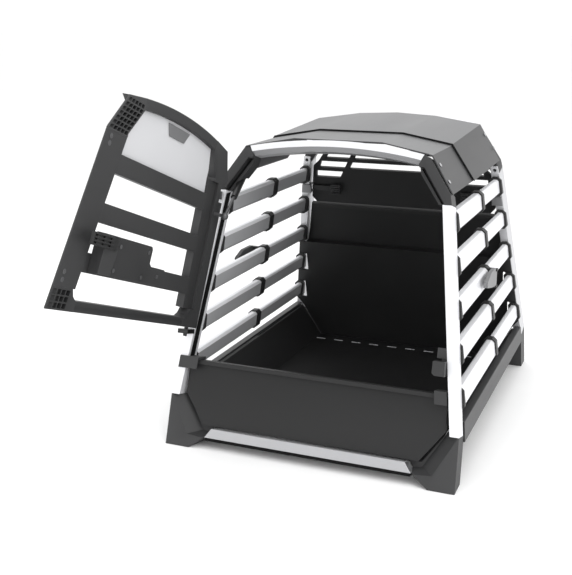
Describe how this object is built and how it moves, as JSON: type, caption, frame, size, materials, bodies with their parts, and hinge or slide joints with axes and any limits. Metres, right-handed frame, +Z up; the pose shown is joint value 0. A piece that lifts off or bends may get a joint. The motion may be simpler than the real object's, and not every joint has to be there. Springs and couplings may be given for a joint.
{
  "type": "vehicle dog crate",
  "caption": "Telescoping dog crate for a car boot: leaning barred sides, sheet roof, floor trays, side-hung front door with a gas strut and a rear escape hatch.",
  "frame": {"origin": "on the floor, midway between the four feet with the crate at its shortest", "axes": "+Z up, -Y towards the front door's opening, +X to the right seen from the front"},
  "size_m": [0.602, 1.2614, 0.7264],
  "materials": {
    "frame_plastic": "fine moulded texture",
    "bright_aluminium": "satin anodised, drawn along its length",
    "rail_grey": "satin powder coat",
    "black_plastic": "fine moulded texture",
    "roof_sheet": "fine powder coat",
    "door_plastic": "fine moulded texture",
    "lock_plastic": "smooth moulded",
    "lever_grey": "smooth moulded",
    "window_sheet": "frosted clear sheet",
    "steel": "zinc plated",
    "strut_paint": "gloss black",
    "rubber_seal": "matt"
  },
  "bodies": {
    "front_half": {"bar_collars": "black_plastic", "door_strike": "frame_plastic", "front_arch_rail": "bright_aluminium", "front_bar_sockets": "black_plastic", "front_bottom_rail": "bright_aluminium", "front_floor_tray": "black_plastic", "front_foot_left": "frame_plastic", "front_foot_right": "frame_plastic", "front_roof": "roof_sheet", "front_roof_screws": "steel", "front_top_corner_left": "frame_plastic", "front_top_corner_right": "frame_plastic", "front_upright_left": "bright_aluminium", "front_upright_right": "bright_aluminium", "hinge_brackets": "frame_plastic", "outer_bars_left": "bright_aluminium", "outer_bars_right": "bright_aluminium", "rail_seal": "rubber_seal", "side_rails": "rail_grey", "sill_clips": "frame_plastic", "sill_panel": "black_plastic", "strut_mount": "steel"},
    "rear_half": {"rear_foot_left": "frame_plastic", "rear_foot_right": "frame_plastic", "rear_upright_left": "bright_aluminium", "rear_upright_right": "bright_aluminium", "rear_top_corner_left": "frame_plastic", "rear_top_corner_right": "frame_plastic", "rear_arch_rail": "bright_aluminium", "rear_bottom_rail": "bright_aluminium", "rear_wall": "black_plastic", "rear_floor_tray": "black_plastic", "inner_side_rails": "rail_grey", "inner_bars_left": "bright_aluminium", "inner_bars_right": "bright_aluminium", "rear_bar_sockets": "black_plastic", "rear_roof": "roof_sheet", "rear_roof_screws": "steel", "hatch_keepers": "frame_plastic"},
    "door": {"door_free_stile": "door_plastic", "door_hinge_stile": "door_plastic", "door_bars": "door_plastic", "door_lock_bar": "door_plastic", "door_bottom_corners": "door_plastic", "door_top_corners": "door_plastic", "door_arch": "door_plastic", "door_bottom_rail": "door_plastic", "door_plaque": "door_plastic", "door_window": "window_sheet", "door_fasteners": "steel", "lock_housing": "lock_plastic"},
    "hatch": {"hatch_panel": "black_plastic"},
    "lock_knob": {"lock_knob": "lock_plastic"},
    "latch_bolt": {"latch_bolt": "steel"},
    "strut_cylinder": {"strut_cylinder": "strut_paint"},
    "strut_rod": {"strut_rod": "steel"},
    "clamp_lever_left": {"clamp_lever_left": "lever_grey"},
    "clamp_lever_right": {"clamp_lever_right": "lever_grey"},
    "hatch_latch_left": {"hatch_latch_left": "lock_plastic"},
    "hatch_latch_right": {"hatch_latch_right": "lock_plastic"}
  },
  "joints": [
    {"name": "depth_slide", "type": "slide", "parent": "front_half", "child": "rear_half", "axis": [0, 1, 0], "range_m": [0, 0.12]},
    {"name": "door_hinge", "type": "hinge", "parent": "front_half", "child": "door", "pos_m": [-0.26881, -0.35407, 0.233], "axis": [0.1072, 0.2375, 0.9655], "range_deg": [0, 88.5]},
    {"name": "lock_knob_slide", "type": "slide", "parent": "door", "child": "lock_knob", "axis": [-0.0372, 0.9403, -0.3382], "range_m": [0, 0.008]},
    {"name": "latch_bolt_slide", "type": "slide", "parent": "door", "child": "latch_bolt", "axis": [-0.1348, -0.3401, -0.9307], "range_m": [0, 0.012]},
    {"name": "strut_swing", "type": "hinge", "parent": "front_half", "child": "strut_cylinder", "pos_m": [-0.205, -0.1802, 0.5468], "axis": [0.1443, 0.7757, 0.6144], "range_deg": [0, 110]},
    {"name": "strut_stroke", "type": "slide", "parent": "strut_cylinder", "child": "strut_rod", "axis": [0.0899, -0.8795, -0.4673], "range_m": [-0.052, 0]},
    {"name": "hatch_hinge", "type": "hinge", "parent": "rear_half", "child": "hatch", "pos_m": [0, 0.27263, 0.3991], "axis": [-1, 0, 0], "range_deg": [0, 95]},
    {"name": "hatch_latch_left_slide", "type": "slide", "parent": "hatch", "child": "hatch_latch_left", "axis": [-1, 0, 0], "range_m": [0, 0.005]},
    {"name": "hatch_latch_right_slide", "type": "slide", "parent": "hatch", "child": "hatch_latch_right", "axis": [1, 0, 0], "range_m": [0, 0.005]},
    {"name": "clamp_lever_left_hinge", "type": "hinge", "parent": "front_half", "child": "clamp_lever_left", "pos_m": [-0.27973, 0.007, 0.3122], "axis": [0, 0, -1], "range_deg": [0, 90]},
    {"name": "clamp_lever_right_hinge", "type": "hinge", "parent": "front_half", "child": "clamp_lever_right", "pos_m": [0.27973, 0.007, 0.3122], "axis": [0, 0, 1], "range_deg": [0, 90]}
  ],
  "couplings": [
    {"joint": "strut_swing", "follows": "door_hinge", "ratio": 1.2393},
    {"joint": "strut_stroke", "follows": "door_hinge", "m_per_rad": -0.033347},
    {"joint": "latch_bolt_slide", "follows": "lock_knob_slide", "ratio": 1.5}
  ]
}
